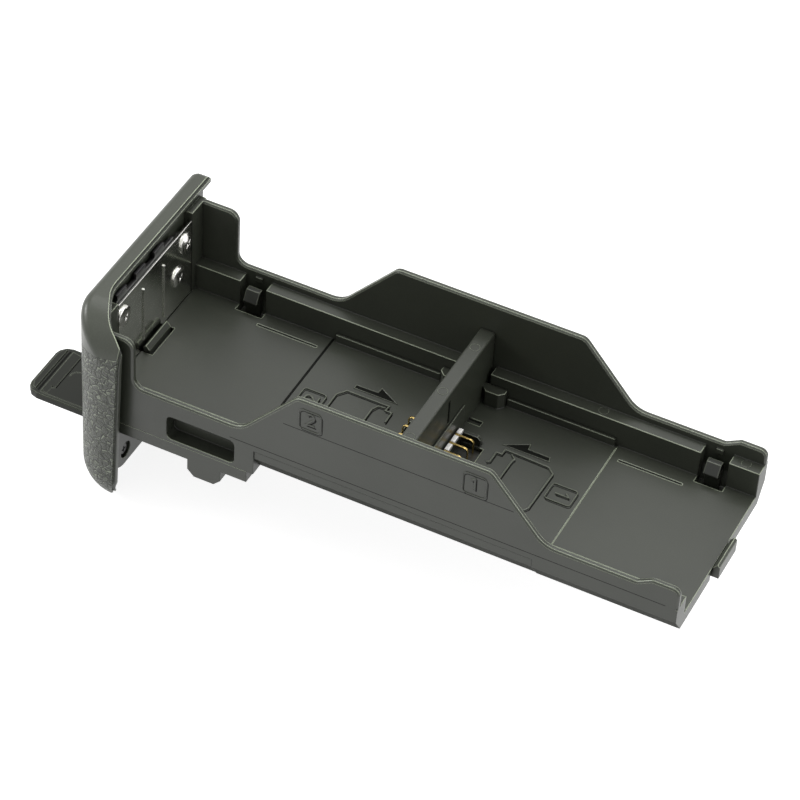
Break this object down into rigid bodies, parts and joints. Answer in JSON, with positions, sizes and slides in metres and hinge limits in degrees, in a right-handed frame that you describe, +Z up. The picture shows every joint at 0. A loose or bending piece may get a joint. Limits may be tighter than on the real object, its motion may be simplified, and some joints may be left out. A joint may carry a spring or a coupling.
{
  "type": "camera grip battery tray",
  "caption": "Open slide-in tray for camera batteries, with a divider and contacts in the middle, a shaped end cap with rubber pad and a folding turn key.",
  "frame": {"origin": "on the flat underside of the tray, below the middle of the divider", "axes": "+X towards the open end, -X towards the end cap, +Z up out of the bays, +Y towards the side with the battery clips"},
  "size_m": [0.1404, 0.0497, 0.0453],
  "materials": {
    "tray_plastic": "fine matte",
    "cover_plastic": "fine matte",
    "holder_plastic": "matte",
    "cap_plastic": "satin",
    "grip_rubber": "leather grain",
    "contact_metal": "gold plated",
    "bar_metal": "bright",
    "plate_metal": "dark, glossy",
    "bright_steel": "bright",
    "dark_steel": "blackened",
    "board": "solder mask",
    "ribbon": "film"
  },
  "bodies": {
    "tray": {"tray_frame": "tray_plastic", "contact_cover": "cover_plastic", "contact_holder_1": "holder_plastic", "contact_holder_2": "holder_plastic", "contact_blades_1": "contact_metal", "contact_blades_2": "contact_metal", "contact_bar_1": "bar_metal", "contact_bar_2": "bar_metal", "circuit_board": "board", "power_ribbon": "ribbon", "lower_cover": "tray_plastic", "cover_screws": "dark_steel", "terminal_housing": "tray_plastic", "housing_screws": "dark_steel", "output_block": "holder_plastic", "output_pins": "contact_metal", "catch_pin_1": "bright_steel", "catch_pin_2": "bright_steel", "end_cap": "cap_plastic", "rubber_pad": "grip_rubber", "lower_frame": "tray_plastic", "lower_screws": "dark_steel", "lock_plate": "plate_metal", "plate_screws": "bright_steel"},
    "clip_1": {"battery_clip_1": "holder_plastic"},
    "clip_2": {"battery_clip_2": "holder_plastic"},
    "catch_1": {"end_catch_1": "tray_plastic"},
    "catch_2": {"end_catch_2": "tray_plastic"},
    "hub": {"lock_hub": "cap_plastic", "key_pin": "bright_steel", "lock_cam": "plate_metal"},
    "key": {"turn_key": "tray_plastic"},
    "slider": {"lock_slider": "plate_metal"}
  },
  "joints": [
    {"name": "lock_turn", "type": "hinge", "parent": "tray", "child": "hub", "pos_m": [-0.0635, -0.0068, -0.0022], "axis": [-1, 0, 0], "range_deg": [0, 90]},
    {"name": "key_fold", "type": "hinge", "parent": "hub", "child": "key", "pos_m": [-0.0655, -0.0068, -0.0092], "axis": [0, 1, 0], "range_deg": [0, 90]},
    {"name": "slider_shift", "type": "slide", "parent": "tray", "child": "slider", "axis": [0, 1, 0], "range_m": [0, 0.00297]},
    {"name": "clip_1_flex", "type": "hinge", "parent": "tray", "child": "clip_1", "pos_m": [0.0484, 0.01727, 0.0017], "axis": [-1, 0, 0], "range_deg": [0, 12], "stiffness_Nm_per_rad": 0.003},
    {"name": "clip_2_flex", "type": "hinge", "parent": "tray", "child": "clip_2", "pos_m": [-0.0484, 0.01727, 0.0017], "axis": [-1, 0, 0], "range_deg": [0, 12], "stiffness_Nm_per_rad": 0.003},
    {"name": "catch_1_dip", "type": "hinge", "parent": "tray", "child": "catch_1", "pos_m": [0.04585, 0, 0.00095], "axis": [0, 1, 0], "range_deg": [0, 8], "stiffness_Nm_per_rad": 0.02},
    {"name": "catch_2_dip", "type": "hinge", "parent": "tray", "child": "catch_2", "pos_m": [-0.04775, 0, 0.00095], "axis": [0, -1, 0], "range_deg": [0, 8], "stiffness_Nm_per_rad": 0.02}
  ],
  "couplings": [
    {"joint": "lock_turn", "follows": "slider_shift", "rad_per_m": 528.8}
  ]
}
